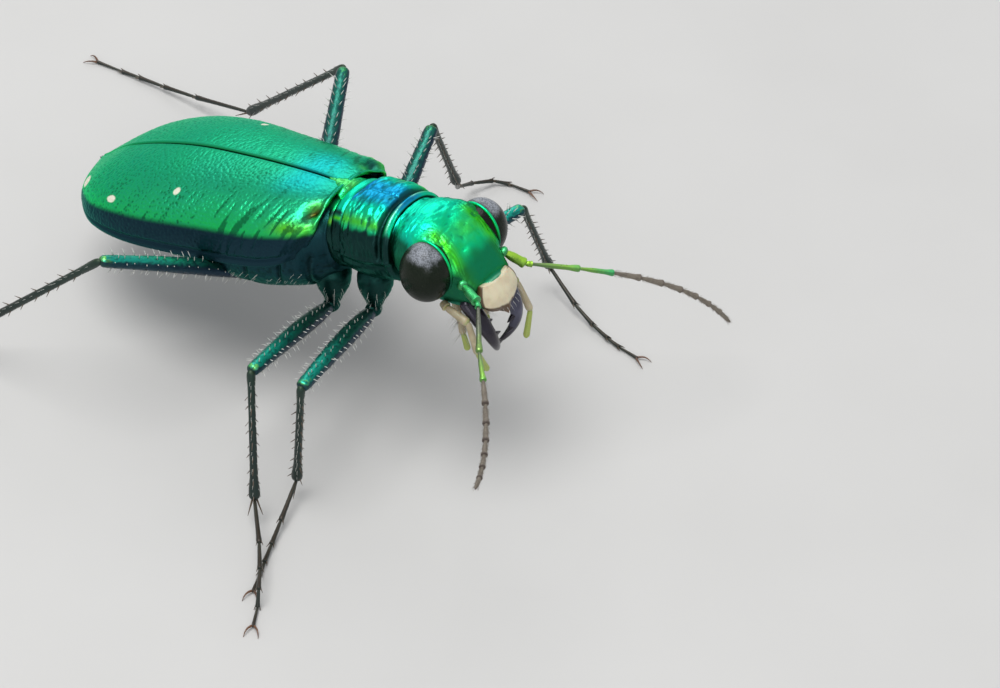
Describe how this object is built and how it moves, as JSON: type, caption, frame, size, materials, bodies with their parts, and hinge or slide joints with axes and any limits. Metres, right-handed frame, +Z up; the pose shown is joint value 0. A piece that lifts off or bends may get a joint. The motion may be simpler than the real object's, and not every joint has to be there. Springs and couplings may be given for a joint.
{
  "type": "six-spotted tiger beetle, life-size still model",
  "caption": "Long-legged metallic green beetle with large eyes, a cream upper lip, curved jaws and long feelers, standing on its feet for display.",
  "frame": {"origin": "on the surface it stands on, under the middle of its bounding box", "axes": "+Z up, the head toward -Y, the beetle's left side toward +X"},
  "size_m": [0.0161, 0.0201, 0.006],
  "materials": {
    "green_shell": "metallic green insect cuticle, finely wrinkled and pitted, glossy",
    "blue_green_shell": "metallic blue-green insect cuticle, finely wrinkled, glossy",
    "underside": "dark blue-green metallic cuticle with sparse pale hairs",
    "femur": "metallic green to bronze cuticle with rows of short white bristles",
    "shank": "dark bronze-brown cuticle with small spines",
    "eye": "dark brown compound eye, fine facets, glossy",
    "labrum": "cream cuticle with a dark brown front edge",
    "mandible": "dark horny cuticle with a grey-violet sheen",
    "palp": "tan cuticle with dark green tips",
    "antenna": "metallic green to copper at the base, then dull brown with fine down"
  },
  "bodies": {
    "root": {"head": "green_shell", "pronotum": "blue_green_shell", "scutellum": "blue_green_shell", "elytron_left": "green_shell", "eye_left": "eye", "antenna_left": "antenna", "mandible_left": "mandible", "maxillary_palp_left": "palp", "labial_palp_left": "palp", "elytron_right": "green_shell", "eye_right": "eye", "antenna_right": "antenna", "mandible_right": "mandible", "maxillary_palp_right": "palp", "labial_palp_right": "palp", "labrum": "labrum", "thorax": "underside", "abdomen": "underside", "front_left_coxa": "blue_green_shell", "front_left_femur": "femur", "front_left_tibia": "shank", "front_left_tarsus": "shank", "front_right_coxa": "blue_green_shell", "front_right_femur": "femur", "front_right_tibia": "shank", "front_right_tarsus": "shank", "mid_left_coxa": "blue_green_shell", "mid_left_femur": "femur", "mid_left_tibia": "shank", "mid_left_tarsus": "shank", "mid_right_coxa": "blue_green_shell", "mid_right_femur": "femur", "mid_right_tibia": "shank", "mid_right_tarsus": "shank", "hind_left_coxa": "blue_green_shell", "hind_left_femur": "femur", "hind_left_tibia": "shank", "hind_left_tarsus": "shank", "hind_right_coxa": "blue_green_shell", "hind_right_femur": "femur", "hind_right_tibia": "shank", "hind_right_tarsus": "shank"}
  },
  "joints": []
}
